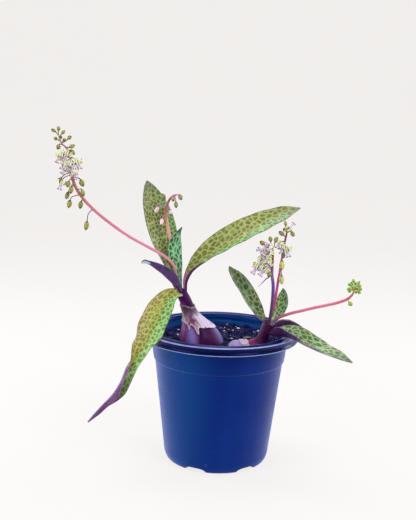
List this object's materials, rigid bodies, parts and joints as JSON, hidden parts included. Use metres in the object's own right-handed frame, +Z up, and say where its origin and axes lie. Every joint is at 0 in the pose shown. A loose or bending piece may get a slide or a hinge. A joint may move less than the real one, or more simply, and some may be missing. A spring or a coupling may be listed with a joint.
{
  "type": "potted ledebouria",
  "caption": "Two offset ledebouria bulbs with mottled strap leaves and slim flower stalks in a round tapered blue nursery pot.",
  "frame": {"origin": "centre of the pot's underside, on the plane the pot stands on", "axes": "+Z up along the pot's axis; -Y is the side the picture shows, +X its right"},
  "size_m": [0.1993, 0.1044, 0.2159],
  "materials": {
    "pot_plastic": "satin dark blue",
    "potting_mix": "near-black moist bark and peat granules",
    "bulb_1_skin": "smooth maroon-purple bulb scales",
    "bulb_1_tunic": "dry papery lilac-beige scale",
    "bulb_2_skin": "smooth magenta-purple bulb scales",
    "bulb_2_tunic": "dry papery whitish scale",
    "leaf_drooping": "waxy leaf, mottled above and purple below",
    "leaf_upright": "waxy leaf, mottled above and purple below",
    "leaf_folded": "waxy leaf, mottled above and purple below",
    "leaf_curled": "waxy purple leaf",
    "leaf_young": "young leaf, yellow-green with dark spots",
    "leaf_broad": "waxy leaf, mottled above and purple below",
    "leaf_left": "waxy leaf, mottled above and purple below",
    "leaf_inner": "waxy leaf, mottled above and purple below",
    "leaf_arching": "waxy leaf, mottled above and purple below",
    "leaf_short": "waxy purple leaf with a pale margin",
    "flower_stalk_1": "juicy pink-purple stalk with small green and violet flowers",
    "flower_stalk_2": "juicy pink-purple stalk with small green and violet flowers",
    "flower_stalk_3": "juicy pink-purple stalk with small green and violet flowers",
    "flower_stalk_4": "juicy pink-purple stalk with small green and violet flowers",
    "flower_stalk_5": "juicy pink-purple stalk with small green and violet flowers"
  },
  "bodies": {
    "root": {"pot": "pot_plastic", "potting_mix": "potting_mix", "bulb_1": "bulb_1_skin", "bulb_1_tunic": "bulb_1_tunic", "bulb_2": "bulb_2_skin", "bulb_2_tunic": "bulb_2_tunic", "leaf_drooping": "leaf_drooping", "leaf_upright": "leaf_upright", "leaf_folded": "leaf_folded", "leaf_curled": "leaf_curled", "leaf_young": "leaf_young", "leaf_broad": "leaf_broad", "leaf_left": "leaf_left", "leaf_inner": "leaf_inner", "leaf_arching": "leaf_arching", "leaf_short": "leaf_short", "flower_stalk_1": "flower_stalk_1", "flower_stalk_2": "flower_stalk_2", "flower_stalk_3": "flower_stalk_3", "flower_stalk_4": "flower_stalk_4", "flower_stalk_5": "flower_stalk_5"}
  },
  "joints": []
}
